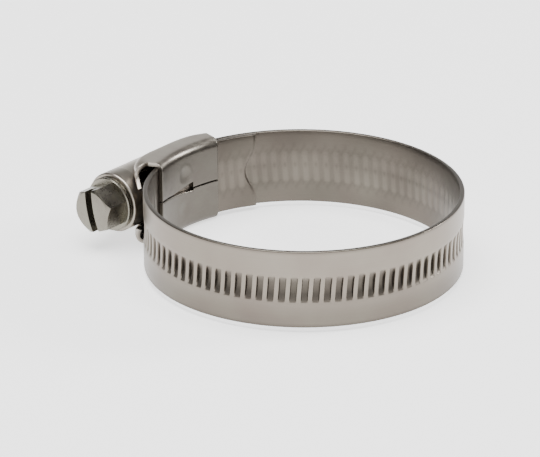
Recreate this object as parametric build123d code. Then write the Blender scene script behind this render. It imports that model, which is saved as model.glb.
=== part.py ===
from build123d import *
import os
from math import atan, atan2, cos, degrees, pi, radians, sin, sqrt, tan

# Worm-drive hose clamp. Millimetres. +Z is the axis of the hose, and z = 0 is the middle of the band's width.
# The origin is the centre of the arc on which the threaded end of the band slides through the housing.
# Angles are measured in plan, from +X towards +Y. The clamp is drawn fully open.

# Band
BAND_WIDTH = 13.0
BAND_THICKNESS = 0.8
BAND_EDGE_RADIUS = 0.2
REAR_RADIUS = 26.7  # outer face of the threaded end, about the origin
LAYER_GAP = 0.05  # between the threaded end and the fixed end under it
SLOTS_PER_TURN = 92  # on the rear arc, which sets the thread's pitch
SLOT_WIDTH = 1.05
SLOTS_PER_SEGMENT = 4
SEGMENT_GAP = 0.03  # between neighbouring segments, which are hinged at their inner edges
SEGMENTS = 13  # from the housing's mouth to the threaded end's root
CENTRE_SHIFT = 0.45  # the front arc is smaller than the rear arc by this, so that both ends meet it flush
JOIN_ANGLE = 12.0  # where the front arc meets the rear arc
TAIL_TIP_ANGLE = 158.5
TONGUE_ANGLE = 107.6  # end of the fixed end's tongue, inside the ring
NOTCH_DEPTH = 1.9  # the hollow end of the tongue, and the matching round end of the tail
NOTCH_HALF_WIDTH = 4.9

# Screw
SCREW_ANGLE = JOIN_ANGLE + 33 * 360 / SLOTS_PER_TURN  # the point of the ring that the screw lies over
WORM_RADIUS = 4.25
WORM_ROOT_RADIUS = 3.5
WORM_CREST = 0.5
WORM_FLANK_ANGLE = 14.0
WORM_FROM = -4.6  # along the screw, from its foot point towards the head
WORM_TO = 8.8
TIP_LENGTH = 0.9
TOOTH_ENGAGEMENT = 0.55
GROOVE_CLEARANCE = 0.1
NECK_RADIUS = 3.65
THRUST_RING_RADIUS = 4.2
THRUST_RING_LENGTH = 0.8
END_PLAY = 0.1
FLANGE_RADIUS = 4.6
FLANGE_THICKNESS = 0.9
HEX_ACROSS_FLATS = 7.0
HEX_CORNER_ANGLE = 160.1  # one corner, from the outward direction towards +Z
FACE_POSITION = 17.4
FACE_RADIUS = 3.4
FACE_CROWN = 0.35
CORNER_DROP = 0.5  # how far below the face the corners are rounded off
DRIVE_SLOT_WIDTH = 1.4
DRIVE_SLOT_DEPTH = 1.7
DRIVE_SLOT_ANGLE = 77.3  # from the outward direction towards +Z

# Housing, pressed from one sheet
SHEET = 0.7
BAND_SIDE_GAP = 0.1
HOUSING_TIP_ANGLE = 125.0
HOUSING_FLOOR_ANGLE = 160.0
HORN_ANGLE = 167.0
HORN_RADIUS = 27.9
HORN_INNER_HALF_WIDTH = 4.4
SHOULDER_HEIGHT = 29.0
SHOULDER_FROM = -1.0
SHOULDER_TO = 8.0
TIP_RADIUS = 28.0
INNER_BEND_RADIUS = 1.3
OUTER_BEND_RADIUS = 0.9
TUNNEL_CLEARANCE = 0.15
TUNNEL_FROM = -5.0
RING_FROM = 9.2  # from here to the collar the tunnel is a full ring, clear of the band
COLLAR_FROM = 11.2
COLLAR_TO = 12.3
COLLAR_CLEARANCE = 0.08
RUN_OUT_LENGTH = 3.2
RUN_OUT_RADIUS = 3.4
RUN_OUT_DROP = 2.8
SEAM_WIDTH = 0.25
RELIEF_HEIGHT = 1.5
STAKE_ANGLE = 143.0
STAKE_HEIGHT = 2.9
STAKE_RADIUS = 1.6
STAKE_DEPTH = 0.18

# Worked out from the sizes above
HALF_WIDTH = BAND_WIDTH / 2
HOUSING_HALF_WIDTH = HALF_WIDTH + BAND_SIDE_GAP + SHEET
SLOT_ANGLE = 360 / SLOTS_PER_TURN
SLOT_PITCH = radians(SLOT_ANGLE) * REAR_RADIUS
FIXED_OUTER = REAR_RADIUS - BAND_THICKNESS - LAYER_GAP
FIXED_INNER = FIXED_OUTER - BAND_THICKNESS
FLOOR_INNER = FIXED_INNER - SHEET
FRONT_RADIUS = REAR_RADIUS - CENTRE_SHIFT
FRONT_CENTRE = (CENTRE_SHIFT * cos(radians(JOIN_ANGLE)), CENTRE_SHIFT * sin(radians(JOIN_ANGLE)))
FRONT_SLOT_ANGLE = degrees(SLOT_PITCH / FRONT_RADIUS)
SEGMENT_ANGLE = SLOTS_PER_SEGMENT * FRONT_SLOT_ANGLE
MOUTH_ANGLE = JOIN_ANGLE + 360 - SEGMENTS * SEGMENT_ANGLE  # about the front arc's centre
MOUTH_X = FRONT_CENTRE[0] + (FRONT_RADIUS - BAND_THICKNESS) * cos(radians(MOUTH_ANGLE))
MOUTH_Y = FRONT_CENTRE[1] + (FRONT_RADIUS - BAND_THICKNESS) * sin(radians(MOUTH_ANGLE))
FIXED_END_ANGLE = degrees(atan2(MOUTH_Y, MOUTH_X))  # the same place about the origin
SCREW_HEIGHT = REAR_RADIUS + WORM_RADIUS - TOOTH_ENGAGEMENT
WORM_PITCH = radians(SLOT_ANGLE) * (REAR_RADIUS - TOOTH_ENGAGEMENT / 2)
LEAD_ANGLE = degrees(atan(WORM_PITCH / (2 * pi * (WORM_RADIUS - TOOTH_ENGAGEMENT / 2))))
TUNNEL_INNER = WORM_RADIUS + TUNNEL_CLEARANCE
TUNNEL_OUTER = TUNNEL_INNER + SHEET
FLANGE_FROM = COLLAR_TO + END_PLAY
HEAD_FROM = FLANGE_FROM + FLANGE_THICKNESS


def polar(radius, angle):
    """The point in plan at this radius and angle."""
    return Vector(radius * cos(radians(angle)), radius * sin(radians(angle)), 0)


# The screw's own directions: OUT points away from the hose, ALONG from the screw's tip to its head.
OUT = polar(1, SCREW_ANGLE)
ALONG = polar(1, SCREW_ANGLE + 90)


def by_screw(along, out=SCREW_HEIGHT):
    """A point in plan, from its places along the screw and outwards from the hose's axis."""
    return OUT * out + ALONG * along


def across_screw(along, out=SCREW_HEIGHT):
    """A plane across the screw, its X axis pointing outwards and its normal towards the head."""
    return Plane(origin=by_screw(along, out), x_dir=OUT, z_dir=ALONG)


def plan_prism(edges, half_height):
    """A prism of a closed outline in plan, even about z = 0."""
    face = Pos(0, 0, -half_height) * make_face(edges)
    return extrude(face, 2 * half_height, dir=(0, 0, 1))


def rod(radius, start, end):
    """A cylinder on the screw's axis."""
    return extrude(across_screw(start) * Circle(radius), end - start)


def strip(inner, outer, start, end, centre=(0, 0)):
    """A stretch of band, with rounded rims."""
    section = RectangleRounded(outer - inner, BAND_WIDTH, BAND_EDGE_RADIUS)
    placed = Plane.XZ * Pos((inner + outer) / 2, 0) * section
    return Pos(centre[0], centre[1]) * Rot(0, 0, start) * revolve(placed, Axis.Z, end - start)


def groove(radius, angle, centre=(0, 0)):
    """The cutter for one thread slot: a disc of the worm's size, leaning at the lead angle."""
    disc = Rot(-LEAD_ANGLE, 0, 0) * Rot(90, 0, 0) * Cylinder(WORM_RADIUS + GROOVE_CLEARANCE, SLOT_WIDTH)
    height = radius + WORM_RADIUS - TOOTH_ENGAGEMENT
    return Pos(centre[0], centre[1]) * Rot(0, 0, angle) * Pos(height, 0) * disc


def end_cutter(radius, angle, offset, reach):
    """A block whose near side is the wave between a hollow end and a round end."""
    edge = HALF_WIDTH + 1
    step = NOTCH_HALF_WIDTH / 4
    waist = [(offset + NOTCH_DEPTH * (1 + cos(pi * k / 4)) / 2, k * step) for k in range(-4, 5)]
    wave = Spline(*waist, tangents=((0, 1), (0, 1)))
    rest = Polyline(waist[-1], (offset, edge), (reach, edge), (reach, -edge), (offset, -edge), waist[0])
    plane = Plane(origin=polar(radius, angle), x_dir=polar(1, angle + 90), z_dir=polar(1, angle))
    return extrude(plane * make_face([wave, rest]), 2, both=True)


def band_tail():
    """The threaded end of the band, which the worm pulls through the housing."""
    start = JOIN_ANGLE + degrees(SEGMENT_GAP / 2 / REAR_RADIUS)
    body = strip(REAR_RADIUS - BAND_THICKNESS, REAR_RADIUS, start, TAIL_TIP_ANGLE)
    slots = int((TAIL_TIP_ANGLE - JOIN_ANGLE) / SLOT_ANGLE - 0.9)
    body -= [groove(REAR_RADIUS, JOIN_ANGLE + (k + 0.5) * SLOT_ANGLE) for k in range(slots)]
    return body - end_cutter(REAR_RADIUS, TAIL_TIP_ANGLE, -NOTCH_DEPTH, 6)


def band_fixed_end():
    """The end of the band that the housing is pressed round, with its tongue inside the ring."""
    end = FIXED_END_ANGLE - degrees(SEGMENT_GAP / 2 / FIXED_INNER)
    body = strip(FIXED_INNER, FIXED_OUTER, TONGUE_ANGLE, end)
    return body - end_cutter(FIXED_OUTER, TONGUE_ANGLE, 0, -6)


def band_segment(first, count):
    """A stretch of the front arc: count slots, starting at slot number first from the mouth."""
    start = MOUTH_ANGLE + first * FRONT_SLOT_ANGLE
    trim = degrees(SEGMENT_GAP / 2 / FRONT_RADIUS)
    end = start + count * FRONT_SLOT_ANGLE
    body = strip(FRONT_RADIUS - BAND_THICKNESS, FRONT_RADIUS, start + trim, end - trim, FRONT_CENTRE)
    slots = [groove(FRONT_RADIUS, start + (k + 0.5) * FRONT_SLOT_ANGLE, FRONT_CENTRE) for k in range(count)]
    return body - slots


def worm_thread():
    """One right-handed ridge round the root cylinder, on four ruled helical faces."""
    sunk = WORM_ROOT_RADIUS - 0.15
    foot = WORM_CREST / 2 + (WORM_RADIUS - sunk) * tan(radians(WORM_FLANK_ANGLE))
    # A land, not a slot, lies under the axis, so the ridge there is half a pitch away.
    length = WORM_TO - WORM_FROM + 2 * WORM_PITCH
    turns_before = round(-WORM_FROM / WORM_PITCH + 1)
    start = -(turns_before + 0.5) * WORM_PITCH
    corners = ((sunk, -foot), (WORM_RADIUS, -WORM_CREST / 2), (WORM_RADIUS, WORM_CREST / 2), (sunk, foot))
    place = across_screw(start).location * Rot(0, 0, 180)
    lines = [place * Pos(0, 0, shift) * Helix(WORM_PITCH, length, radius) for radius, shift in corners]
    faces = [Face.make_surface_from_curves(lines[k], lines[(k + 1) % 4]) for k in range(4)]
    ends = [Face(Wire.make_polygon([line @ side for line in lines], close=True)) for side in (0, 1)]
    return Solid(Shell(faces + ends))


def screw_head():
    """The hexagon with its rounded corners, slightly domed face and driver slot."""
    corner = HEX_ACROSS_FLATS / sqrt(3)
    turned = across_screw(HEAD_FROM) * Rot(0, 0, -HEX_CORNER_ANGLE)
    head = extrude(turned * RegularPolygon(corner, 6), FACE_POSITION + 1 - HEAD_FROM)
    # Both roundings are parts of balls centred on the screw's axis.
    depth = (corner**2 + CORNER_DROP**2 - FACE_RADIUS**2) / (2 * CORNER_DROP)
    crown_radius = (FACE_RADIUS**2 + FACE_CROWN**2) / (2 * FACE_CROWN)
    head &= Pos(by_screw(FACE_POSITION - depth)) * Sphere(sqrt(FACE_RADIUS**2 + depth**2))
    head &= Pos(by_screw(FACE_POSITION + FACE_CROWN - crown_radius)) * Sphere(crown_radius)
    slot = Box(12, DRIVE_SLOT_WIDTH, 2 * DRIVE_SLOT_DEPTH)
    return head - across_screw(FACE_POSITION).location * Rot(0, 0, -DRIVE_SLOT_ANGLE) * slot


def screw():
    """The captive worm screw, in one piece."""
    core = rod(WORM_ROOT_RADIUS, WORM_FROM - 0.01, WORM_TO)
    thread = worm_thread() & rod(WORM_RADIUS + 1, WORM_FROM, WORM_TO)
    body = core + thread
    tip = across_screw(WORM_FROM - TIP_LENGTH).location * Cone(
        WORM_ROOT_RADIUS - TIP_LENGTH, WORM_ROOT_RADIUS, TIP_LENGTH, align=(Align.CENTER, Align.CENTER, Align.MIN)
    )
    ring_end = COLLAR_FROM - END_PLAY
    body += tip
    body += rod(NECK_RADIUS, WORM_TO - 0.01, FLANGE_FROM + 0.01)
    body += rod(THRUST_RING_RADIUS, ring_end - THRUST_RING_LENGTH, ring_end)
    flange = rod(FLANGE_RADIUS, FLANGE_FROM, HEAD_FROM)
    body += chamfer(flange.edges().filter_by(GeomType.CIRCLE), 0.15)
    return body + screw_head()


def housing_outline():
    """The housing's outline in plan."""
    tip_low = polar(FLOOR_INNER, HOUSING_TIP_ANGLE)
    floor_end = polar(FLOOR_INNER, HOUSING_FLOOR_ANGLE)
    floor_middle = polar(FLOOR_INNER, (HOUSING_TIP_ANGLE + HOUSING_FLOOR_ANGLE) / 2)
    horn = polar(HORN_RADIUS, HORN_ANGLE)
    tip_high = polar(TIP_RADIUS, HOUSING_TIP_ANGLE)
    shoulder_to = by_screw(SHOULDER_TO, SHOULDER_HEIGHT)
    shoulder_from = by_screw(SHOULDER_FROM, SHOULDER_HEIGHT)
    return [
        ThreePointArc(tip_low, floor_middle, floor_end),
        Line(floor_end, horn),
        ThreePointArc(horn, by_screw(11.0, 27.5), shoulder_to),
        Line(shoulder_to, shoulder_from),
        ThreePointArc(shoulder_from, by_screw(-5.0, 28.2), tip_high),
        Line(tip_high, tip_low),
    ]


def cavity_outline():
    """The space inside the housing in plan, open at both ends."""
    low_tip = polar(FIXED_INNER, HOUSING_TIP_ANGLE - 5)
    low_mouth = polar(FIXED_INNER, HORN_ANGLE + 5)
    low_middle = polar(FIXED_INNER, (HOUSING_TIP_ANGLE + HORN_ANGLE) / 2)
    mouth = polar(HORN_RADIUS - SHEET, HORN_ANGLE + 5)
    horn = polar(HORN_RADIUS - SHEET, HORN_ANGLE)
    top_to = by_screw(SHOULDER_TO - 0.3, SHOULDER_HEIGHT - SHEET)
    top_from = by_screw(SHOULDER_FROM, SHOULDER_HEIGHT - SHEET)
    tip = polar(TIP_RADIUS - SHEET, HOUSING_TIP_ANGLE)
    beyond_tip = polar(TIP_RADIUS - SHEET, HOUSING_TIP_ANGLE - 5)
    return [
        ThreePointArc(low_tip, low_middle, low_mouth),
        Line(low_mouth, mouth),
        Line(mouth, horn),
        ThreePointArc(horn, by_screw(10.4, 27.0), top_to),
        Line(top_to, top_from),
        ThreePointArc(top_from, by_screw(-5.0 + 0.1, 28.2 - SHEET), tip),
        Line(tip, beyond_tip),
        Line(beyond_tip, low_tip),
    ]


def run_out(inset):
    """The tunnel's end towards the screw's tip, which narrows and comes down to the band."""
    large = TUNNEL_OUTER - inset
    lean = ALONG * -RUN_OUT_LENGTH - OUT * RUN_OUT_DROP
    slope = (TUNNEL_OUTER - RUN_OUT_RADIUS) / lean.length
    direction = lean.normalized()
    level = sqrt(1 - slope**2)
    height = lean.length
    far = large * level - height * slope / level
    base = Plane(origin=by_screw(TUNNEL_FROM) + direction * large * slope, z_dir=direction)
    cone = base.location * Cone(large * level, far, height, align=(Align.CENTER, Align.CENTER, Align.MIN))
    ball = Pos(by_screw(TUNNEL_FROM)) * Sphere(large)
    past_tip = Plane(origin=polar(TIP_RADIUS, HOUSING_TIP_ANGLE), z_dir=-polar(1, HOUSING_TIP_ANGLE + 90))
    return ball + cone - past_tip.location * Box(30, 30, 20, align=(Align.CENTER, Align.CENTER, Align.MIN))


def floor_cutter(points):
    """A cutter through the housing's floor, from points given by angle and height."""
    middle = (HOUSING_TIP_ANGLE + HOUSING_FLOOR_ANGLE) / 2
    flat = [((FIXED_INNER * sin(radians(angle - middle))), height) for angle, height in points]
    plane = Plane(origin=polar(22, middle), x_dir=polar(1, middle + 90), z_dir=polar(1, middle))
    return extrude(plane * make_face(Polyline(*flat, close=True)), 4)


def floor_seam():
    """The seam where the sheet's two flaps meet on the floor, with its relief window."""
    half = SEAM_WIDTH / 2
    slit = floor_cutter([(123, -0.2 - half), (140, -0.1 - half), (140, -0.1 + half), (123, -0.2 + half)])
    window = floor_cutter([(138, 0.93 - RELIEF_HEIGHT), (138, 0.93), (150, 0.25), (150, 0.0)])
    rest = floor_cutter([(149, 0.0), (162, 0.4), (162, 0.4 + SEAM_WIDTH), (149, SEAM_WIDTH)])
    return [slit, window, rest]


def housing():
    """The pressed housing: floor under the band, side walls, shoulders, tunnel over the screw and its collar."""
    shell = plan_prism(housing_outline(), HOUSING_HALF_WIDTH)
    long_edges = [e for e in shell.edges() if abs(abs(e.center().Z) - HOUSING_HALF_WIDTH) < 0.01]
    inner = [e for e in long_edges if e.geom_type == GeomType.CIRCLE and abs(e.radius - FLOOR_INNER) < 0.1]
    outer = [e for e in long_edges if e.geom_type == GeomType.CIRCLE and abs(e.radius - FLOOR_INNER) >= 0.1]
    outer += [e for e in long_edges if e.geom_type == GeomType.LINE and abs(e.length - SHOULDER_TO + SHOULDER_FROM) < 0.01]
    shell = fillet(inner, INNER_BEND_RADIUS)
    shell = fillet([shell.edges().sort_by_distance(e.center())[0] for e in outer], OUTER_BEND_RADIUS)
    shell -= plan_prism(cavity_outline(), HOUSING_HALF_WIDTH - SHEET)
    mouth = Box(12, 2 * HORN_INNER_HALF_WIDTH, 12, align=(Align.CENTER, Align.CENTER, Align.MIN))
    shell -= across_screw(RING_FROM - 1.2, SHOULDER_HEIGHT).location * mouth
    tube = rod(TUNNEL_OUTER, TUNNEL_FROM, COLLAR_TO) + run_out(0)
    below = Box(20, 20, 30, align=(Align.MAX, Align.CENTER, Align.MAX))
    tube -= across_screw(RING_FROM, SHOULDER_HEIGHT - SHEET).location * below
    shell += tube
    shell -= rod(TUNNEL_INNER, TUNNEL_FROM, COLLAR_FROM)
    shell -= run_out(SHEET)
    shell -= rod(NECK_RADIUS + COLLAR_CLEARANCE, COLLAR_FROM - 0.01, COLLAR_TO + 0.01)
    shell -= floor_seam()
    depth = (STAKE_RADIUS**2 + STAKE_DEPTH**2) / (2 * STAKE_DEPTH)
    ball = polar(FLOOR_INNER + STAKE_DEPTH - depth, STAKE_ANGLE)
    return shell - Pos(ball.X, ball.Y, STAKE_HEIGHT) * Sphere(depth)


parts = {
    "housing": housing(),
    "screw": screw(),
    "band_fixed_end": band_fixed_end(),
    "band_tail": band_tail(),
}
half = SLOTS_PER_SEGMENT // 2
for number in range(1, 7):
    parts["band_fixed_side_%d" % number] = band_segment((number - 1) * SLOTS_PER_SEGMENT, SLOTS_PER_SEGMENT)
    from_root = SEGMENTS - number
    parts["band_tail_side_%d" % number] = band_segment(from_root * SLOTS_PER_SEGMENT, SLOTS_PER_SEGMENT)
parts["band_fixed_side_7"] = band_segment(6 * SLOTS_PER_SEGMENT, half)
parts["band_tail_side_7"] = band_segment(6 * SLOTS_PER_SEGMENT + half, half)

os.makedirs("parts", exist_ok=True)
for name, shape in parts.items():
    export_step(shape, "parts/" + name + ".step")
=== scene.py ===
from math import atan, atan2, cos, degrees, pi, radians, sin, sqrt, tan

import bpy
import numpy as np
from mathutils import Matrix, Vector


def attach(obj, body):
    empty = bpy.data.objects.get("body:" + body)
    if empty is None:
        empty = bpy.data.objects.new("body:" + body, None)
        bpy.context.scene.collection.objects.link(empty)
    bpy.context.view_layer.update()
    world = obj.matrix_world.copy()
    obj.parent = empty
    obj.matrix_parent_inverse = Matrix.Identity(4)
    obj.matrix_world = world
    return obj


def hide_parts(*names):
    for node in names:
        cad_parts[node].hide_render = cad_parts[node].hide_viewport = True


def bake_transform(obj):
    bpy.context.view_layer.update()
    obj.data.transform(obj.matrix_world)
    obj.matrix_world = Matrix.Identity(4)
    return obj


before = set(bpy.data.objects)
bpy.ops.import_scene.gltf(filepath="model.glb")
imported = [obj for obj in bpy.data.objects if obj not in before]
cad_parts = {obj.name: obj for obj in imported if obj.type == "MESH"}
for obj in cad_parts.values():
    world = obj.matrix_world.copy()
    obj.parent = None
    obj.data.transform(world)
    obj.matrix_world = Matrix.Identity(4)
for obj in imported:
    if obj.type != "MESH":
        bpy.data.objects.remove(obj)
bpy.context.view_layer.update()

MM = 0.001

# Band, in millimetres and degrees, as in the CAD
BAND_WIDTH = 13.0
BAND_THICKNESS = 0.8
RIM_RADIUS = 0.2
REAR_RADIUS = 26.7
LAYER_GAP = 0.05
SLOTS_PER_TURN = 92
SLOT_WIDTH = 1.05
SEGMENTS = 13
SLOTS_PER_SEGMENT = 4
CENTRE_SHIFT = 0.45
JOIN_ANGLE = 12.0
TAIL_TIP_ANGLE = 158.5
TONGUE_ANGLE = 107.6
NOTCH_DEPTH = 1.9
NOTCH_HALF_WIDTH = 4.9
SLOT_HALF_LENGTH = 2.29
WORM_RADIUS = 4.25
TOOTH_ENGAGEMENT = 0.55
GROOVE_CLEARANCE = 0.1

# The pressing, as it shows on both faces
LAND_DISH = 0.17  # depth of the dish that the lands between the slots lie in
LAND_DISH_HALF_LENGTH = 2.6
SLOT_WALL = (0.25, 0.3125)  # where a slot's side begins and ends, in slots from its middle
BAR_SIDE = (0.12, 0.42)
BAR_HALF_LENGTH = 2.5
INNER_BULGE = 0.04
TIP_REACH = 2.5  # length of the reshaped end of the tongue and of the tail, in slots
BLIND_REACH = (3.0, 2.6)  # how far from the tail's end its slots fade out, in slots
TONGUE_EDGE = 0.75  # the sheet's thickness at the tongue's end, as a share of the band's
THINNING_REACH = 0.4

# Painted shade on the band: how much darker or lighter than its steel each feature is painted, in place of the
# shade in the slots (most at their lower ends), along the rims' edges, on the lower half, on the inner face and
# the rims, across the pressed bars and in arcs at their ends, and high on the inner face under the rim;
# DOT_TONE and STREAK_TONE darken dots and a streak on the inner face
SLOT_PAINTED_SHADE = 0.7
EDGE_PAINTED_SHADE = 0.3
LOWER_PAINTED_SHADE = 0.34
INNER_PAINTED_SHADE = 0.55
RIM_PAINTED_SHADE = 0.42
BAR_PAINTED_LIGHT_AND_SHADE = 0.17
DOT_TONE = 0.22
SCALLOP_PAINTED_SHADE = 0.12
STREAK_TONE = 0.14
UPPER_PAINTED_SHADE = 0.16

# Painted shade on the screw's steel: its brightness at places along it, in millimetres from its foot point,
# darker over the thread and the hexagon's sides than over the flange and the face
SCREW_PAINTED_SHADE = ((11.0, 0.7), (12.4, 0.9), (13.25, 0.95), (13.5, 0.66), (16.9, 0.74), (17.1, 0.82),
               (18.0, 0.82))

HALF_WIDTH = BAND_WIDTH / 2
SLOT_ANGLE = 360 / SLOTS_PER_TURN
SCREW_ANGLE = JOIN_ANGLE + 33 * SLOT_ANGLE
SLOT_PITCH = radians(SLOT_ANGLE) * REAR_RADIUS
FIXED_OUTER = REAR_RADIUS - BAND_THICKNESS - LAYER_GAP
FRONT_RADIUS = REAR_RADIUS - CENTRE_SHIFT
FRONT_CENTRE = np.array((CENTRE_SHIFT * cos(radians(JOIN_ANGLE)), CENTRE_SHIFT * sin(radians(JOIN_ANGLE))))
FRONT_SLOTS = SEGMENTS * SLOTS_PER_SEGMENT
FRONT_SLOT_ANGLE = degrees(SLOT_PITCH / FRONT_RADIUS)
MOUTH_ANGLE = JOIN_ANGLE + 360 - FRONT_SLOTS * FRONT_SLOT_ANGLE
MOUTH = FRONT_CENTRE + (FRONT_RADIUS - BAND_THICKNESS) * np.array(
    (cos(radians(MOUTH_ANGLE)), sin(radians(MOUTH_ANGLE)))
)
FIXED_END_ANGLE = degrees(atan2(MOUTH[1], MOUTH[0]))
FIXED_SLOT_ANGLE = degrees(SLOT_PITCH / FIXED_OUTER)
TONGUE_PLACE = -(FIXED_END_ANGLE - TONGUE_ANGLE) / FIXED_SLOT_ANGLE
TAIL_PLACE = FRONT_SLOTS + (TAIL_TIP_ANGLE - JOIN_ANGLE) / SLOT_ANGLE
LEAD = atan(SLOT_PITCH / (2 * pi * (WORM_RADIUS - TOOTH_ENGAGEMENT / 2)))


# ---------------------------------------------------------------- materials

STREAK_SHARE = 0.55
TINT = 0.09  # how far the steel's colour goes each way
DARK_HUE = (1.03, 0.99, 1.0)
PALE_HUE = (0.985, 1.01, 0.99)
GRAIN_DEPTH = 0.00002  # metres


def nodes_of(material):
    """A material's nodes, its links and its shader."""
    material.use_nodes = True
    tree = material.node_tree
    return tree.nodes, tree.links, tree.nodes["Principled BSDF"]


def add(nodes, kind, **values):
    """A new node with the given properties."""
    node = nodes.new(kind)
    for key, value in values.items():
        setattr(node, key, value)
    return node


def noise(nodes, links, source, scale, detail):
    node = add(nodes, "ShaderNodeTexNoise")
    node.inputs["Scale"].default_value = scale
    node.inputs["Detail"].default_value = detail
    links.new(source, node.inputs["Vector"])
    return node.outputs["Fac"]


def grey(value):
    return (value, value, value, 1)


def steel(name, colour, roughness, brush, brush_scale, use_uv=True, blotch=300.0, toned=True):
    """Worked steel: streaks along the grain, faint blotches of tone, and a little bump."""
    material = bpy.data.materials.new(name)
    nodes, links, shader = nodes_of(material)
    shader.inputs["Metallic"].default_value = 1.0
    if use_uv:
        place = add(nodes, "ShaderNodeUVMap", uv_map="grain")
        source = place.outputs["UV"]
    else:
        place = add(nodes, "ShaderNodeTexCoord")
        source = place.outputs["Object"]
    stretch = add(nodes, "ShaderNodeMapping")
    stretch.inputs["Scale"].default_value = brush_scale
    links.new(source, stretch.inputs["Vector"])
    streak = noise(nodes, links, stretch.outputs["Vector"], 1.0, 4.0)
    patch = noise(nodes, links, source, blotch, 2.0)
    both = add(nodes, "ShaderNodeMath", operation="MULTIPLY_ADD")
    links.new(streak, both.inputs[0])
    both.inputs[1].default_value = STREAK_SHARE
    links.new(patch, both.inputs[2])
    ramp = add(nodes, "ShaderNodeValToRGB")
    ends = ((0.45, 1 - TINT, DARK_HUE), (1.0, 1 + TINT, PALE_HUE))
    for step, (position, level, hue) in zip(ramp.color_ramp.elements, ends):
        step.position = position
        step.color = (*[c * level * h for c, h in zip(colour, hue)], 1)
    links.new(both.outputs[0], ramp.inputs["Fac"])
    # The tone attribute holds painted shade, and painted light on the pressed bars, together with marks of tone
    if toned:
        tone = add(nodes, "ShaderNodeAttribute", attribute_name="tone")
        shade = add(nodes, "ShaderNodeVectorMath", operation="SCALE")
        links.new(ramp.outputs["Color"], shade.inputs[0])
        links.new(tone.outputs["Fac"], shade.inputs["Scale"])
        links.new(shade.outputs["Vector"], shader.inputs["Base Color"])
    else:
        links.new(ramp.outputs["Color"], shader.inputs["Base Color"])
    rough = add(nodes, "ShaderNodeMapRange")
    rough.inputs["To Min"].default_value = roughness * 0.8
    rough.inputs["To Max"].default_value = roughness * 1.25
    links.new(streak, rough.inputs["Value"])
    links.new(rough.outputs["Result"], shader.inputs["Roughness"])
    bump = add(nodes, "ShaderNodeBump")
    bump.inputs["Strength"].default_value = brush
    bump.inputs["Distance"].default_value = GRAIN_DEPTH
    links.new(streak, bump.inputs["Height"])
    links.new(bump.outputs["Normal"], shader.inputs["Normal"])
    return material


def paint_shade_along_screw(material):
    """Painted shade: the screw's thread and the sides of its hexagon are painted darker than its flange and its
    face.
    """
    nodes, links, shader = nodes_of(material)
    first, last = SCREW_PAINTED_SHADE[0][0], SCREW_PAINTED_SHADE[-1][0]
    colour = shader.inputs["Base Color"].links[0].from_socket
    place = nodes.new("ShaderNodeTexCoord")
    along = add(nodes, "ShaderNodeVectorMath", operation="DOT_PRODUCT")
    links.new(place.outputs["Object"], along.inputs[0])
    along.inputs[1].default_value = (-sin(radians(SCREW_ANGLE)), cos(radians(SCREW_ANGLE)), 0)
    scale = add(nodes, "ShaderNodeMapRange")
    scale.inputs["From Min"].default_value = first * MM
    scale.inputs["From Max"].default_value = last * MM
    links.new(along.outputs["Value"], scale.inputs["Value"])
    ramp = nodes.new("ShaderNodeValToRGB")
    steps = ramp.color_ramp.elements
    steps[0].color = grey(SCREW_PAINTED_SHADE[0][1])
    steps[1].color = grey(SCREW_PAINTED_SHADE[-1][1])
    for at, tone in SCREW_PAINTED_SHADE[1:-1]:
        steps.new((at - first) / (last - first)).color = grey(tone)
    links.new(scale.outputs["Result"], ramp.inputs["Fac"])
    mix = add(nodes, "ShaderNodeVectorMath", operation="MULTIPLY")
    links.new(colour, mix.inputs[0])
    links.new(ramp.outputs["Color"], mix.inputs[1])
    links.new(mix.outputs["Vector"], shader.inputs["Base Color"])


BAND_STEEL = steel("band_steel_look", (0.225, 0.197, 0.167), 0.34, 0.25, (60.0, 9000.0, 1.0), blotch=120.0)
HOUSING_STEEL = steel("housing_steel_look", (0.37, 0.335, 0.29), 0.32, 0.25, (900, 900, 2500), use_uv=False)
SCREW_STEEL = steel("screw_steel_look", (0.235, 0.22, 0.185), 0.28, 0.3, (1500, 1500, 1500),
                    use_uv=False, toned=False)
paint_shade_along_screw(SCREW_STEEL)


# ---------------------------------------------------------------- mesh helpers

def new_mesh(name, points, faces, material, grain=None, tone=None, smooth_angle=35.0):
    """An object from points in millimetres. grain is each point's place on the sheet, tone its brightness,
    painted light and shade included.
    """
    mesh = bpy.data.meshes.new(name)
    mesh.from_pydata((np.asarray(points) * MM).tolist(), [], faces)
    mesh.validate()
    if grain is not None:
        layer = mesh.uv_layers.new(name="grain")
        loops = np.zeros(len(mesh.loops), dtype=np.int32)
        mesh.loops.foreach_get("vertex_index", loops)
        layer.data.foreach_set("uv", (np.asarray(grain)[loops] * MM).astype(np.float32).ravel())
    layer = mesh.attributes.new("tone", "FLOAT", "POINT")
    layer.data.foreach_set("value", np.ones(len(points)) if tone is None else np.asarray(tone, dtype=float))
    mesh.materials.append(material)
    obj = bpy.data.objects.new(name, mesh)
    bpy.context.scene.collection.objects.link(obj)
    mesh.polygons.foreach_set("use_smooth", [True] * len(mesh.polygons))
    mesh.set_sharp_from_angle(angle=radians(smooth_angle))
    return obj


def tube_faces(columns, rows):
    """Faces of a grid of closed rows-point sections, with both ends capped."""
    faces = []
    for j in range(columns - 1):
        a, b = j * rows, (j + 1) * rows
        for i in range(rows):
            n = (i + 1) % rows
            faces.append((a + i, a + n, b + n, b + i))
    for at, flip in ((0, -1), ((columns - 1) * rows, 1)):
        faces += [tuple(at + i for i in face)[::flip] for face in end_faces()]
    return faces


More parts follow.
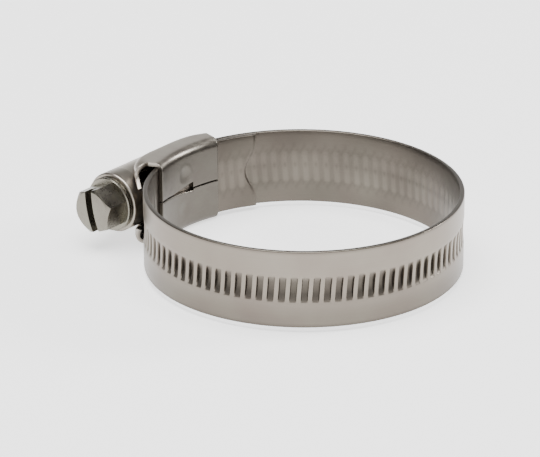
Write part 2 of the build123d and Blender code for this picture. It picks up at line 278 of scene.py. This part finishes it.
def end_faces():
    """Triangles across the band's end, stepping down its outer and its inner side together."""
    height = SECTION[:, 2]
    top, bottom = int(np.argmax(height)), int(np.argmin(height))
    count = len(SECTION)
    down, up = (top - bottom) % count, (bottom - top) % count
    outer = [(top - i) % count for i in range(down + 1)]
    inner = [(top + i) % count for i in range(up + 1)]
    faces, a, b = [], 0, 0
    while a < down or b < up:
        if b == up or (a < down and height[outer[a + 1]] > height[inner[b + 1]]):
            face = (outer[a], inner[b], outer[a + 1])
            a += 1
        else:
            face = (outer[a], inner[b], inner[b + 1])
            b += 1
        if len(set(face)) == 3:
            faces.append(face)
    return faces


# ---------------------------------------------------------------- band

def place_on_band(place):
    """Centre, outer radius and angle of the band at a place counted in slots from the housing's mouth."""
    if place < 0:
        return np.zeros(2), FIXED_OUTER, FIXED_END_ANGLE + place * FIXED_SLOT_ANGLE
    if place <= FRONT_SLOTS:
        return FRONT_CENTRE, FRONT_RADIUS, MOUTH_ANGLE + place * FRONT_SLOT_ANGLE
    return np.zeros(2), REAR_RADIUS, JOIN_ANGLE + (place - FRONT_SLOTS) * SLOT_ANGLE


COLUMNS_PER_SLOT = 16
TIP_COLUMNS = 30
SEGMENTS_A_SIDE = 7
# Heights of the rows of points on each face, close together at the slots' ends
OUTER_ROWS = (0, 0.35, 0.7, 1.0, 1.3, 1.6, 1.85, 2.05, 2.18, 2.25, 2.31, 2.38, 2.48, 2.6, 2.8, 3.2, 3.8, 4.6,
              5.4, 5.8, 6.0, 6.15, 6.3)
INNER_ROWS = (0, 0.4, 0.9, 1.4, 1.9, 2.2, 2.5, 2.9, 3.6, 4.5, 5.5, 6.3)


def section():
    """Rows round the band: side (1 outer, 0 rim, -1 inner), depth below the outer face, and height."""
    rows = [(1, 0.0, z) for z in [-z for z in OUTER_ROWS[:0:-1]] + list(OUTER_ROWS)]
    corner = [radians(a) for a in (22.5, 45, 67.5, 90)]
    rows += [(0, RIM_RADIUS * (1 - cos(a)), HALF_WIDTH - RIM_RADIUS * (1 - sin(a))) for a in corner]
    inner = BAND_THICKNESS
    rows += [(0, inner - depth, height) for _, depth, height in rows[-1:-5:-1]]
    rows += [(-1, inner, z) for z in list(INNER_ROWS[::-1]) + [-z for z in INNER_ROWS[1:]]]
    rows += [(0, inner - RIM_RADIUS * (1 - cos(a)), RIM_RADIUS * (1 - sin(a)) - HALF_WIDTH) for a in corner]
    rows += [(0, RIM_RADIUS * (1 - cos(a)), RIM_RADIUS * (1 - sin(a)) - HALF_WIDTH) for a in corner[::-1]]
    return np.array(rows)


SECTION = section()


def smooth(x, low, high):
    """0 below low, 1 above high, and an even run between them."""
    t = np.clip((x - low) / (high - low), 0, 1)
    return t * t * (3 - 2 * t)


def pressed(place, side, height):
    """How far the surface is pushed inwards by the thread, on the outer face and on the inner face."""
    shift = height * tan(LEAD) / SLOT_PITCH
    x = np.abs((place - shift) % 1.0 - 0.5)
    wall = 1 - smooth(x, *SLOT_WALL)
    disc_radius = WORM_RADIUS + GROOVE_CLEARANCE
    inside = np.clip(disc_radius**2 - height**2, 0, None)
    disc = np.sqrt(inside) - (WORM_RADIUS - TOOTH_ENGAGEMENT)
    land = LAND_DISH * np.clip(1 - (height / LAND_DISH_HALF_LENGTH) ** 2, 0, 1)
    outer = land + np.clip(disc - land, 0, None) * wall
    bar = (1 - smooth(x, *BAR_SIDE)) * np.clip(1 - (height / BAR_HALF_LENGTH) ** 2, 0, 1) ** 0.5
    return np.where(side > 0.5, outer, np.where(side < -0.5, INNER_BULGE * bar, 0.0))


def inner_marks_and_painted_shade(place, height):
    """Brightness of the inner face: painted light and shade across the faint bars left by the pressing, painted
    shade in arcs at their ends, darker dots at their middles, a darker streak just above mid-width, patches of
    tone, and painted shade high up under the rim.
    """
    x = (place - height * tan(LEAD) / SLOT_PITCH) % 1.0 - 0.5
    bar = (1 - smooth(np.abs(x), 0.1, 0.4)) * (1 - smooth(np.abs(height), 2.3, 3.0))
    dot = np.exp(-((x / 0.17) ** 2) - ((height - 0.3) / 0.45) ** 2)
    scallop = np.exp(-(((np.abs(height) - 3.0 - 0.4 * np.cos(2 * pi * x)) / 0.4) ** 2))
    streak = np.exp(-(((height - 0.4) / 0.5) ** 2)) * (0.5 + 0.5 * np.sin(0.23 * place + 1.0))
    patches = 0.05 * np.sin(0.9 * place + 0.4 * height) + 0.04 * np.sin(0.37 * place - 0.8 * height)
    upper = smooth(height, 3.2, 6.2)
    marks = 1 + BAR_PAINTED_LIGHT_AND_SHADE * (bar - 0.5) - DOT_TONE * dot - SCALLOP_PAINTED_SHADE * scallop - STREAK_TONE * streak
    return (marks + patches) * (1 - UPPER_PAINTED_SHADE * upper)


def outer_painted_shade(height, depth_in_slot):
    """Painted shade on the outer face: darker in the slots, most at their lower ends, at the edges and below.
    """
    slot = 1 - SLOT_PAINTED_SHADE * (0.85 + 0.3 * smooth(-height, -1.5, 2.2)) * depth_in_slot**0.5
    edge = 1 - EDGE_PAINTED_SHADE * smooth(np.abs(height), 5.8, 6.4)
    return slot * edge * (1 - LOWER_PAINTED_SHADE * smooth(-height, -0.5, 5.5))


def hollow(height):
    """The wave between the band's hollow end and its round end, 1 at mid-width and 0 at the rims."""
    inside = np.abs(height) < NOTCH_HALF_WIDTH
    return np.where(inside, (1 + np.cos(pi * height / NOTCH_HALF_WIDTH)) / 2, 0.0)


def band_piece(name, start, end, tip=None):
    """A stretch of band between two places. tip is 'tongue' or 'tail' where it has the band's end."""
    first, last = int(np.floor(start)), int(np.ceil(end))
    places = [k / COLUMNS_PER_SLOT for k in range(first * COLUMNS_PER_SLOT, last * COLUMNS_PER_SLOT + 1)]
    places = [p for p in places if start + 1e-6 < p < end - 1e-6]
    if tip == "tongue":
        places = [p for p in places if p > start + TIP_REACH]
        places = list(np.linspace(start, start + TIP_REACH, TIP_COLUMNS)) + places + [end]
    elif tip == "tail":
        places = [p for p in places if p < end - TIP_REACH]
        places = [start] + places + list(np.linspace(end - TIP_REACH, end, TIP_COLUMNS))
    else:
        places = [start] + places + [end]
    side, depth, height = SECTION.T
    points, grain, tones = [], [], []
    bend = height * tan(LEAD) / SLOT_PITCH * (1 - smooth(np.abs(height), 2.5, 3.4))
    for p in places:
        follow = 1 - smooth(abs(p % 1.0 - 0.5), 0.36, 0.5)
        where = np.full(len(height), float(p))
        if tip == "tongue" and p < start + TIP_REACH:
            where += NOTCH_DEPTH / SLOT_PITCH * hollow(height) * (1 - (p - start) / TIP_REACH)
        elif tip == "tail" and p > end - TIP_REACH:
            where -= NOTCH_DEPTH / SLOT_PITCH * (1 - hollow(height)) * (1 - (end - p) / TIP_REACH)
        else:
            where += bend * follow
        blind = 1.0
        if tip == "tail":
            blind = 1 - smooth(p, end - BLIND_REACH[0], end - BLIND_REACH[1])
        push = pressed(where, side, height) * blind
        depth_in_slot = np.clip((push - LAND_DISH) / (TOOTH_ENGAGEMENT - LAND_DISH), 0, 1)
        # Painted shade: the inner face and the rims are painted darker than the outer face, the inner face also
        # with its marks
        inside = np.where(side < 0, INNER_PAINTED_SHADE * inner_marks_and_painted_shade(where, height), RIM_PAINTED_SHADE)
        tones += list(np.where(side > 0.5, outer_painted_shade(height, depth_in_slot), inside))
        thin = 1.0
        if tip == "tongue":
            thin = TONGUE_EDGE + (1 - TONGUE_EDGE) * smooth(p, start, start + THINNING_REACH)
        for w, d, h, s, q in zip(where, depth * thin, height, side, push):
            centre, radius, angle = place_on_band(w if tip else p)
            if not tip:
                angle += degrees((w - p) * SLOT_PITCH / radius)
            r = radius - d - q
            a = radians(angle)
            points.append((centre[0] + r * cos(a), centre[1] + r * sin(a), h))
            grain.append((w * SLOT_PITCH, h if s >= 0 else h + 40))
    return new_mesh(name, points, tube_faces(len(places), len(SECTION)), BAND_STEEL, grain, tones)


def make_band():
    """The tongue and the tail, and a piece across each hinge between them."""
    tongue = band_piece("band_tongue", TONGUE_PLACE, -2, tip="tongue")
    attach(tongue, "clamp_body")
    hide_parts("band_fixed_end")
    tail = band_piece("band_threaded_end", FRONT_SLOTS + 2, TAIL_PLACE, tip="tail")
    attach(tail, "band_tail")
    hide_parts("band_tail")
    half = SLOTS_PER_SEGMENT // 2
    for which, parent, first, way in (("fixed", "clamp_body", 0, 1), ("tail", "band_tail", FRONT_SLOTS, -1)):
        for k in range(SEGMENTS_A_SIDE):
            hinge = first + way * k * SLOTS_PER_SEGMENT
            child = "band_%s_side_%d" % (which, k + 1)
            piece = band_piece("band_bend_%s_%d" % (which, k + 1), hinge - half, hinge + half)
            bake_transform(piece)
            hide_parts(child)
            parent = child


make_band()


# ---------------------------------------------------------------- housing

SHEET = 0.7
HOUSING_HALF_WIDTH = HALF_WIDTH + 0.1 + SHEET
FLOOR_RADIUS = FIXED_OUTER - BAND_THICKNESS - SHEET
TIP_ANGLE = 125.0
FLOOR_END_ANGLE = 160.0
TIP_RADIUS = 28.05
SCREW_HEIGHT = REAR_RADIUS + WORM_RADIUS - TOOTH_ENGAGEMENT
OUT = np.array((cos(radians(SCREW_ANGLE)), sin(radians(SCREW_ANGLE))))
ALONG = np.array((-OUT[1], OUT[0]))
TUNNEL_RADIUS = 5.1
COLLAR_RADIUS = 3.73
RING_FROM = 9.2
COLLAR_FROM = 11.2
COLLAR_TO = 12.3
DOME_FROM = -4.9
DOME_LENGTH = 3.0
DOME_DROP = 4.6
SHOULDER_END = 8.2
WALL_STARTS = 6.0  # half width past which the sheet never faces inwards
HORN_CORNER = (27.0, 159.7)  # radius and angle of the side wall's top corner at the horn
FLOOR_BEND = 1.4
# Painted shade on the floor flap inside the ring
FLAP_PAINTED_SHADE = 0.29
FLAP_ROWS = 23  # rows of points from the lip to the bend, where the staking marks may lie
EDGE_ROUND = 0.15
EDGE_STEPS = [EDGE_ROUND * (1 - cos(radians(a))) for a in (0, 30, 60, 90)]
STATION_LENGTH = 17.0
RELIEF_FROM = 138.0
RELIEF_TO = 150.0
STAKES = ((1, 143.0, 2.8, 1.5, 0.11), (-1, 143.0, 3.3, 1.5, 0.07))

# The shoulder's top line, along the screw and outwards, from the tip to the horn
TOP_LINE = np.array(((-5.0, 28.4), (-1.5, 29.1), (2.5, 29.1), (6.5, 28.9), (9.2, 28.1), (10.84, 26.5)))


def polar(radius, angle):
    """A point in plan, from its radius and its angle in degrees."""
    return radius * np.array((cos(radians(angle)), sin(radians(angle))))


def curve_through(points, t):
    """A smooth curve through evenly numbered points, at t from 0 to 1."""
    count = len(points) - 1
    k = min(int(t * count), count - 1)
    x = t * count - k
    before = points[k - 1] if k else 2 * points[0] - points[1]
    after = points[k + 2] if k + 2 <= count else 2 * points[-1] - points[-2]
    a, b = points[k], points[k + 1]
    return a + x * ((b - before) / 2 + x * (before - 2.5 * a + 2 * b - after / 2
                                            + x * (1.5 * (a - b) + (after - before) / 2)))


def top_line(u):
    """The shoulder's outer edge in plan, along the screw and outwards, from the tip at 0 to the horn at 1."""
    tip = polar(TIP_RADIUS, TIP_ANGLE)
    points = np.vstack(([tip @ ALONG, tip @ OUT], TOP_LINE))
    return curve_through(points, u)


def from_screw(along, out):
    """A point in plan, from its places along the screw and outwards from the ring's centre."""
    return ALONG * along + OUT * out


def tunnel_ring(along):
    """Height of the centre and radius of the tunnel's outside, which closes in a dome towards the tip."""
    x = np.clip((DOME_FROM - along) / DOME_LENGTH, 0, 0.99)
    return SCREW_HEIGHT - DOME_DROP * x**2, TUNNEL_RADIUS * sqrt(1 - x**2)


def lips(angle):
    """Heights of the upper and the lower flap's lips, where they meet on the floor."""
    if angle < RELIEF_FROM:
        return -0.08, -0.24
    if angle < RELIEF_TO:
        t = (angle - RELIEF_FROM) / (RELIEF_TO - RELIEF_FROM)
        return 0.93 - 0.63 * t, -0.57 + 0.62 * t
    t = (angle - RELIEF_TO) / (FLOOR_END_ANGLE - RELIEF_TO)
    return 0.3 + 0.3 * t, 0.05 + 0.35 * t


def shoulder_edge(along, u):
    """How near to mid-width the shoulder comes: into the tunnel's wall, or to the horn's free edge."""
    if along < SHOULDER_END:
        x = np.clip((DOME_FROM - along) / DOME_LENGTH, 0, 1)
        return 4.8 * sqrt(1 - x**2)
    return 4.95 - 1.35 * smooth(u, 0.86, 1)


def wrap_section(u, side):
    """Half of the wrap's outside at a station u: from the lip along the floor, up the side, to the shoulder."""
    angle = TIP_ANGLE + u * (FLOOR_END_ANGLE - TIP_ANGLE)
    foot = polar(FLOOR_RADIUS, angle)
    along, out = top_line(u)
    top = from_screw(along, out)
    bend = 0.4 + 0.6 * smooth(u, 0.0, 0.45) + 0.8 * smooth(u, 0.7, 1)
    up = (top - foot) / np.linalg.norm(top - foot)
    raked = polar(*HORN_CORNER)
    wall_top = top - up * bend
    wall_top = wall_top + (raked - wall_top) * smooth(u, 0.72, 1)
    up = wall_top - foot
    length = np.linalg.norm(up)
    up /= length
    z_wall = HOUSING_HALF_WIDTH
    lip = lips(angle)[0] if side > 0 else -lips(angle)[1]
    rows = [(*foot, lip + y, y) for y in EDGE_STEPS]
    rows += [(*foot, z, 9) for z in np.linspace(lip + 0.4, z_wall - FLOOR_BEND, 19)]
    for a in np.linspace(0, pi / 2, 9)[1:]:
        rows.append((*(foot + up * FLOOR_BEND * (1 - cos(a))), z_wall - FLOOR_BEND * (1 - sin(a)), 9))
    for f in (0.25, 0.5, 0.75, 1.0):
        rows.append((*(foot + up * (FLOOR_BEND + f * (length - FLOOR_BEND))), z_wall, 9))
    for a in np.linspace(0, pi / 2, 10)[1:]:
        rows.append((*(wall_top + (top - wall_top) * sin(a)), z_wall - bend * (1 - cos(a)), 9))
    edge = shoulder_edge(along, u)
    start = z_wall - bend
    droop = from_screw(1.0, -1.4) * smooth(u, 0.8, 1)
    for z in list(np.linspace(start, edge + 0.3, 5)[1:]) + [edge + y for y in EDGE_STEPS[::-1]]:
        f = (start - z) / (start - 3.6)
        rows.append((*(top + droop * f**1.5), z, z - edge))
    rows = np.array(rows)
    rows[:FLAP_ROWS, :2] += dent(angle, rows[:FLAP_ROWS, 2], side)[:, None] * (foot / FLOOR_RADIUS)
    rows[:, 2] *= side
    return rows


def dent(angle, z, side):
    """Staking marks, and the lower lip's slightly raised edge."""
    push = np.zeros(len(z))
    for which, centre, height, radius, depth in STAKES:
        if which == side:
            d = np.hypot(radians(angle - centre) * FLOOR_RADIUS, z - height) / radius
            push += depth * np.clip(1 - d**2, 0, 1) ** 2 - 0.25 * depth * np.exp(-((d - 1.1) / 0.2) ** 2)
    if side < 0 and angle < RELIEF_FROM:
        push -= 0.1 * np.exp(-((z - z[0]) / 0.35) ** 2)
    return push


def add_solid(store, outer, inner, tone_outer=1.0, tone_inner=1.0, row_tones=None):
    """Adds a stretch of sheet between two grids of points, closed along its four edges."""
    points, faces, tones = store
    columns, rows = outer.shape[:2]
    base, layer = len(points), columns * rows
    points.extend(outer.reshape(-1, 3).tolist())
    points.extend(inner.reshape(-1, 3).tolist())
    row_tones = [tone_outer] * rows if row_tones is None else row_tones
    tones.extend(list(row_tones) * columns + [tone_inner] * layer)

    def at(j, i, k):
        return base + k * layer + j * rows + i

    for j in range(columns - 1):
        for i in range(rows - 1):
            faces.append((at(j, i, 0), at(j, i + 1, 0), at(j + 1, i + 1, 0), at(j + 1, i, 0)))
            faces.append((at(j, i, 1), at(j + 1, i, 1), at(j + 1, i + 1, 1), at(j, i + 1, 1)))
        for i, flip in ((0, 1), (rows - 1, -1)):
            faces.append((at(j, i, 0), at(j + 1, i, 0), at(j + 1, i, 1), at(j, i, 1))[::flip])
    for i in range(rows - 1):
        for j, flip in ((0, -1), (columns - 1, 1)):
            faces.append((at(j, i, 0), at(j, i + 1, 0), at(j, i + 1, 1), at(j, i, 1))[::flip])


def rounding(distance):
    """How much each skin draws in near a free edge of the sheet."""
    x = np.clip(EDGE_ROUND - distance, 0, EDGE_ROUND)
    return EDGE_ROUND - np.sqrt(EDGE_ROUND**2 - x**2)


def wrap_half(store, side):
    """Floor flap, side wall and shoulder of one side."""
    ends = [y / STATION_LENGTH for y in EDGE_STEPS]
    relief = (RELIEF_FROM - TIP_ANGLE) / (FLOOR_END_ANGLE - TIP_ANGLE)
    stations = ends[:3] + list(np.linspace(ends[3], 1 - ends[3], 91)) + [1 - e for e in ends[2::-1]]
    step = next(u for u in np.linspace(0, 1, 2001) if top_line(u)[0] > SHOULDER_END)
    stations = sorted(stations + [relief - 1e-4, relief + 1e-4, step - 1e-3, step])
    outer, inner = [], []
    for u in stations:
        here = wrap_section(u, side)
        around = wrap_section(min(u + 1e-5, 1), side) - wrap_section(max(u - 1e-5, 0), side)
        across = np.gradient(here[:, :3], axis=0)
        normal = np.cross(across, around[:, :3]) * side
        normal /= np.linalg.norm(normal, axis=1)[:, None]
        inward = (np.abs(here[:, 2]) > WALL_STARTS) & (normal[:, 2] * side < 0)
        normal[inward] = (0, 0, side)
        from_end = min(u, 1 - u) * STATION_LENGTH
        inset = np.maximum(rounding(here[:, 3]), rounding(np.full(len(here), from_end)))[:, None]
        outer.append(here[:, :3] - normal * inset)
        inner.append(here[:, :3] - normal * (SHEET - inset))
    # Painted shade: the floor flap darker, brightening to the steel's own over the bend, and the sheet's inner
    # skin at 0.45
    row_tones = [FLAP_PAINTED_SHADE] * 25 + list(np.linspace(FLAP_PAINTED_SHADE, 1, 5)) + [1.0] * (len(here) - 30)
    add_solid(store, np.array(outer), np.array(inner), 1.0, 0.45, row_tones)


def shoulder_height(along):
    """The shoulder's top at a place along the screw."""
    us = np.linspace(0, 1, 200)
    line = np.array([top_line(u) for u in us])
    return np.interp(along, line[:, 0], line[:, 1])


def tunnel(store):
    """The arch over the worm, with its dome at the tip end."""
    x = [sin(radians(a)) for a in np.linspace(82, 0, 14)]
    places = [DOME_FROM - DOME_LENGTH * v for v in x] + list(np.linspace(DOME_FROM, RING_FROM, 15)[1:])
    outer, inner = [], []
    for along in places:
        height, radius = tunnel_ring(along)
        low = min(shoulder_height(along) - 0.55, SCREW_HEIGHT - 2.1 if along > DOME_FROM else 99)
        reach = np.arccos(np.clip((low - height) / radius, -1, 1))
        angles = np.linspace(-reach, reach, 49)
        inset = 0.3 if along < DOME_FROM else 0
        for grid, r, shift in ((outer, radius, 0), (inner, max(radius - SHEET, 0.1), inset)):
            plan = [from_screw(along + shift, height + r * cos(a)) for a in angles]
            grid.append([(*p, r * sin(a)) for p, a in zip(plan, angles)])
    # Painted shade: the tunnel's inside is painted darker than its outside
    add_solid(store, np.array(outer), np.array(inner), 1.0, 0.35)


def tunnel_ring_and_collar(store):
    """The closed ring at the head end, with the collar that keeps the screw in."""
    r = 0.3
    inner, edge = TUNNEL_RADIUS - SHEET, TUNNEL_RADIUS
    profile = [(RING_FROM, inner), (RING_FROM, edge)]
    profile += [(COLLAR_TO - r + r * sin(a), edge - r + r * cos(a)) for a in np.linspace(0, pi / 2, 6)]
    profile += [(COLLAR_TO, COLLAR_RADIUS + 0.1), (COLLAR_TO - 0.1, COLLAR_RADIUS)]
    profile += [(COLLAR_FROM, COLLAR_RADIUS), (COLLAR_FROM, inner)]
    points, faces, tones = store
    base, count, turns = len(points), len(profile), 72
    for k in range(turns):
        a = 2 * pi * k / turns
        for along, radius in profile:
            points.append([*from_screw(along, SCREW_HEIGHT + radius * cos(a)), radius * sin(a)])
            # Painted shade: the ring's inner face and the collar inside it at 0.4; its outside is dimmed to 0.8
            tones.append(0.8 if radius > inner + 0.1 else 0.4)
    for k in range(turns):
        for i in range(count):
            a, b = base + k * count, base + (k + 1) % turns * count
            j = (i + 1) % count
            faces.append((a + i, b + i, b + j, a + j))


def shoulder_fillet(store, side):
    """The concave run of sheet between the shoulder and the tunnel."""
    places = [DOME_FROM - DOME_LENGTH * v for v in (0.93, 0.85, 0.7, 0.5, 0.25)]
    places += list(np.linspace(DOME_FROM, SHOULDER_END, 30))
    outer, inner = [], []
    for along in places:
        height, radius = tunnel_ring(along)
        level = shoulder_height(along)
        fade = 1 - 0.8 * smooth(along, SHOULDER_END - 1.6, SHOULDER_END)
        rise = min(0.85, height + 0.8 * radius - level) * fade
        z2 = sqrt(max(radius**2 - (level + rise - height) ** 2, 0.01))
        slope = (level + rise - height) / z2
        corner = np.array((level, z2 + rise * slope))
        first = corner + (0, 0.75 * fade)
        last = np.array((level + rise, z2))
        arc, under = [], []
        for t in np.linspace(0, 1, 9):
            n, z = (1 - t) ** 2 * first + 2 * t * (1 - t) * corner + t**2 * last
            arc.append((*from_screw(along, n + 0.004), side * z))
            under.append((*from_screw(along, corner[0] - 0.25 + 0.3 * t), side * (corner[1] - 0.1)))
        outer.append(arc)
        inner.append(under)
    add_solid(store, np.array(outer), np.array(inner))


def make_housing():
    """The whole pressed sheet as one piece."""
    store = ([], [], [])
    for side in (1, -1):
        wrap_half(store, side)
        shoulder_fillet(store, side)
    tunnel(store)
    tunnel_ring_and_collar(store)
    shell = new_mesh("housing_shell", store[0], store[1], HOUSING_STEEL, tone=store[2])
    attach(shell, "clamp_body")
    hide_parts("housing")


make_housing()


# ---------------------------------------------------------------- carried-over CAD nodes

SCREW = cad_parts["screw"]
SCREW.data.materials.clear()
SCREW.data.materials.append(SCREW_STEEL)


# ---------------------------------------------------------------- floor, light and camera

FLOOR_Z = -7.32
FLOOR_HALF_SIDE = 3.0  # metres
FLOOR_GLOW = 1.4
CAMERA_DISTANCE = 604.5
CAMERA_ELEVATION = 23.01
CAMERA_YAW = -0.545
CAMERA_PITCH = 0.05
CAMERA_ROLL = -0.059
CAMERA_LENS = 246.1
# Brightness of the studio by the direction's Z and Y, each placed from 0 for -1 to 1 for +1
WORLD_BY_HEIGHT = ((0.5, 1.0), (0.68, 0.55), (0.78, 0.16), (1.0, 0.1))
WORLD_BY_DEPTH = ((0.0, 3.0), (0.25, 0.6), (0.55, 0.25), (0.8, 0.9), (1.0, 2.2))


def make_floor():
    """A plain pale floor, faintly luminous as a lit backdrop is."""
    mesh = bpy.data.meshes.new("floor")
    s = FLOOR_HALF_SIDE
    mesh.from_pydata([(-s, -s, 0), (s, -s, 0), (s, s, 0), (-s, s, 0)], [], [(0, 1, 2, 3)])
    floor = bpy.data.objects.new("floor", mesh)
    bpy.context.scene.collection.objects.link(floor)
    floor.location = (0, 0, FLOOR_Z * MM)
    material = bpy.data.materials.new("floor_white")
    nodes, links, shader = nodes_of(material)
    shader.inputs["Base Color"].default_value = (0.5, 0.5, 0.5, 1)
    shader.inputs["Roughness"].default_value = 0.9
    shader.inputs["Emission Color"].default_value = (1, 1, 1, 1)
    shader.inputs["Emission Strength"].default_value = FLOOR_GLOW
    mesh.materials.append(material)


def area_light(name, position, size, power):
    """A soft rectangular light that faces the origin."""
    data = bpy.data.lights.new(name, "AREA")
    data.shape = "RECTANGLE"
    data.size, data.size_y = size
    data.energy = power
    light = bpy.data.objects.new(name, data)
    light.location = position
    light.rotation_euler = (-Vector(position)).to_track_quat("-Z", "Y").to_euler()
    bpy.context.scene.collection.objects.link(light)
    return light


def make_world():
    """A dark studio: paler near the horizon, in front and behind, and darker at both sides."""
    world = bpy.data.worlds.new("studio")
    bpy.context.scene.world = world
    world.use_nodes = True
    nodes, links = world.node_tree.nodes, world.node_tree.links
    coordinates = nodes.new("ShaderNodeTexCoord")
    split = nodes.new("ShaderNodeSeparateXYZ")
    links.new(coordinates.outputs["Generated"], split.inputs[0])
    ramps = []
    for axis, colours in (("Z", WORLD_BY_HEIGHT), ("Y", WORLD_BY_DEPTH)):
        ramp = nodes.new("ShaderNodeValToRGB")
        place = nodes.new("ShaderNodeMapRange")
        place.inputs["From Min"].default_value = -1
        links.new(split.outputs[axis], place.inputs["Value"])
        links.new(place.outputs["Result"], ramp.inputs["Fac"])
        steps = ramp.color_ramp.elements
        for step, (position, value) in ((steps[0], colours[0]), (steps[1], colours[-1])):
            step.position = position
            step.color = grey(value)
        for position, value in colours[1:-1]:
            steps.new(position).color = grey(value)
        ramps.append(ramp)
    both = add(nodes, "ShaderNodeVectorMath", operation="MULTIPLY")
    links.new(ramps[0].outputs["Color"], both.inputs[0])
    links.new(ramps[1].outputs["Color"], both.inputs[1])
    links.new(both.outputs["Vector"], nodes["Background"].inputs["Color"])
    nodes["Background"].inputs["Strength"].default_value = 1.0


def make_camera():
    """A long lens in front of the clamp, looking slightly down."""
    e, yaw, pitch, roll = (radians(a) for a in (CAMERA_ELEVATION, CAMERA_YAW, CAMERA_PITCH, CAMERA_ROLL))
    target = np.array((FRONT_CENTRE[0] / 2, FRONT_CENTRE[1] / 2, 0)) * MM
    place = target - np.array((0, cos(e), -sin(e))) * CAMERA_DISTANCE * MM
    look = np.array((sin(yaw) * cos(e + pitch), cos(yaw) * cos(e + pitch), -sin(e + pitch)))
    right = np.cross(look, (0, 0, 1))
    right /= np.linalg.norm(right)
    up = np.cross(right, look)
    right, up = cos(roll) * right + sin(roll) * up, cos(roll) * up - sin(roll) * right
    data = bpy.data.cameras.new("camera")
    data.sensor_fit = "HORIZONTAL"
    data.sensor_width = 36
    data.lens = CAMERA_LENS
    data.clip_start = 0.01
    data.clip_end = 20
    camera = bpy.data.objects.new("camera", data)
    matrix = Matrix.Identity(4)
    for row in range(3):
        matrix[row][0] = right[row]
        matrix[row][1] = up[row]
        matrix[row][2] = -look[row]
        matrix[row][3] = place[row]
    camera.matrix_world = matrix
    bpy.context.scene.collection.objects.link(camera)
    bpy.context.scene.camera = camera


make_floor()
make_world()
area_light("overhead", (-0.05, -0.10, 0.87), (1.0, 0.8), 28)
area_light("right", (0.84, 0.25, 0.38), (0.22, 0.26), 10)
make_camera()
